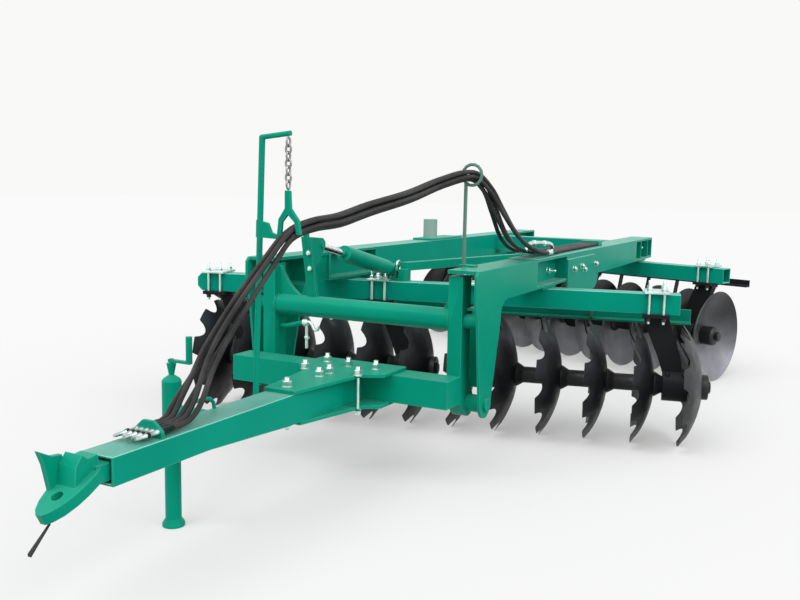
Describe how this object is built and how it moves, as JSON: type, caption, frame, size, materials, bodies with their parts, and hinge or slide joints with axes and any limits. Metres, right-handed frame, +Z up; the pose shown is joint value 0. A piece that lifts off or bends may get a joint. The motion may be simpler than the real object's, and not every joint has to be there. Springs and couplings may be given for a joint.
{
  "type": "offset disc harrow",
  "caption": "Trailed offset disc harrow with two opposed angled gangs of concave discs on a box-section frame, drawbar, levelling cylinder, jack and hoses.",
  "frame": {"origin": "on the ground under the middle of the machine's bounding box", "axes": "+Z up, -Y the way it is towed, +X the machine's left"},
  "size_m": [2.7638, 5.6701, 1.4592],
  "materials": {
    "teal_paint": "satin",
    "black_paint": "satin",
    "worn_steel": "worn",
    "bright_rod": "polished",
    "hose_rubber": "matt"
  },
  "bodies": {
    "main_frame": {"left_longitudinal": "teal_paint", "right_longitudinal": "teal_paint", "left_front_leg": "teal_paint", "right_front_leg": "teal_paint", "rear_cross_member": "teal_paint", "front_gang_beam": "teal_paint", "rear_gang_beam": "teal_paint", "front_hanger_1": "black_paint", "front_hanger_2": "black_paint", "front_hanger_3": "black_paint", "front_hanger_4": "black_paint", "rear_hanger_1": "black_paint", "rear_hanger_2": "black_paint", "rear_hanger_3": "black_paint", "rear_hanger_4": "black_paint", "front_scrapers": "teal_paint", "rear_scrapers": "black_paint", "levelling_bracket": "teal_paint", "diagonal_brace": "teal_paint", "hose_ring": "teal_paint", "hose_block": "teal_paint", "stand_socket": "teal_paint"},
    "hitch_frame": {"hitch_beam": "teal_paint", "hitch_uprights": "teal_paint", "levelling_mast": "teal_paint", "drawbar": "teal_paint", "drawbar_top_plate": "teal_paint", "drawbar_bottom_plate": "teal_paint", "jack_tube": "teal_paint", "jack_crank": "teal_paint", "hose_pole": "teal_paint", "hose_wishbone": "teal_paint", "hose_chain": "worn_steel", "hose_rack": "teal_paint", "hose_1": "hose_rubber", "hose_2": "hose_rubber", "hose_3": "hose_rubber", "hose_4": "hose_rubber", "hose_5": "hose_rubber"},
    "hitch_clevis": {"hitch_clevis": "teal_paint"},
    "jack_leg": {"jack_leg": "teal_paint"},
    "cylinder_barrel": {"levelling_cylinder_barrel": "teal_paint"},
    "cylinder_rod": {"levelling_cylinder_rod": "bright_rod"},
    "front_gang_right": {"front_gang_right": "black_paint"},
    "front_gang_left": {"front_gang_left": "black_paint"},
    "rear_gang_right": {"rear_gang_right": "worn_steel"},
    "rear_gang_left": {"rear_gang_left": "worn_steel"}
  },
  "joints": [
    {"name": "front_gang_right_spin", "type": "hinge", "parent": "main_frame", "child": "front_gang_right", "pos_m": [-0.6737, -0.3856, 0.305], "axis": [0.9744, 0.225, 0], "continuous": true},
    {"name": "front_gang_left_spin", "type": "hinge", "parent": "main_frame", "child": "front_gang_left", "pos_m": [0.6905, -0.0706, 0.305], "axis": [0.9744, 0.225, 0], "continuous": true},
    {"name": "rear_gang_right_spin", "type": "hinge", "parent": "main_frame", "child": "rear_gang_right", "pos_m": [-0.7058, 2.3689, 0.305], "axis": [0.9489, -0.3156, 0], "continuous": true},
    {"name": "rear_gang_left_spin", "type": "hinge", "parent": "main_frame", "child": "rear_gang_left", "pos_m": [0.6226, 1.9269, 0.305], "axis": [0.9489, -0.3156, 0], "continuous": true},
    {"name": "hitch_tilt", "type": "hinge", "parent": "main_frame", "child": "hitch_frame", "pos_m": [0.0184, -0.9781, 0.345], "axis": [1, 0, 0], "range_deg": [-5, 6], "deforming": ["hose_1", "hose_2", "hose_3", "hose_4", "hose_5"]},
    {"name": "levelling_barrel_pivot", "type": "hinge", "parent": "main_frame", "child": "cylinder_barrel", "pos_m": [-0.2416, -0.2481, 0.82], "axis": [1, 0, 0], "range_deg": [-2.5, 2.5]},
    {"name": "levelling_rod_slide", "type": "slide", "parent": "cylinder_barrel", "child": "cylinder_rod", "axis": [0, -0.9747, 0.2235], "range_m": [-0.07, 0.08]},
    {"name": "jack_slide", "type": "slide", "parent": "hitch_frame", "child": "jack_leg", "axis": [0, 0, 1], "range_m": [0, 0.15]},
    {"name": "clevis_pivot", "type": "hinge", "parent": "hitch_frame", "child": "hitch_clevis", "pos_m": [0.0584, -2.5831, 0.43], "axis": [1, 0, 0], "range_deg": [-6, 6]}
  ],
  "couplings": [
    {"joint": "levelling_barrel_pivot", "follows": "hitch_tilt", "ratio": 0.2133},
    {"joint": "levelling_rod_slide", "follows": "hitch_tilt", "m_per_rad": 0.6262}
  ]
}
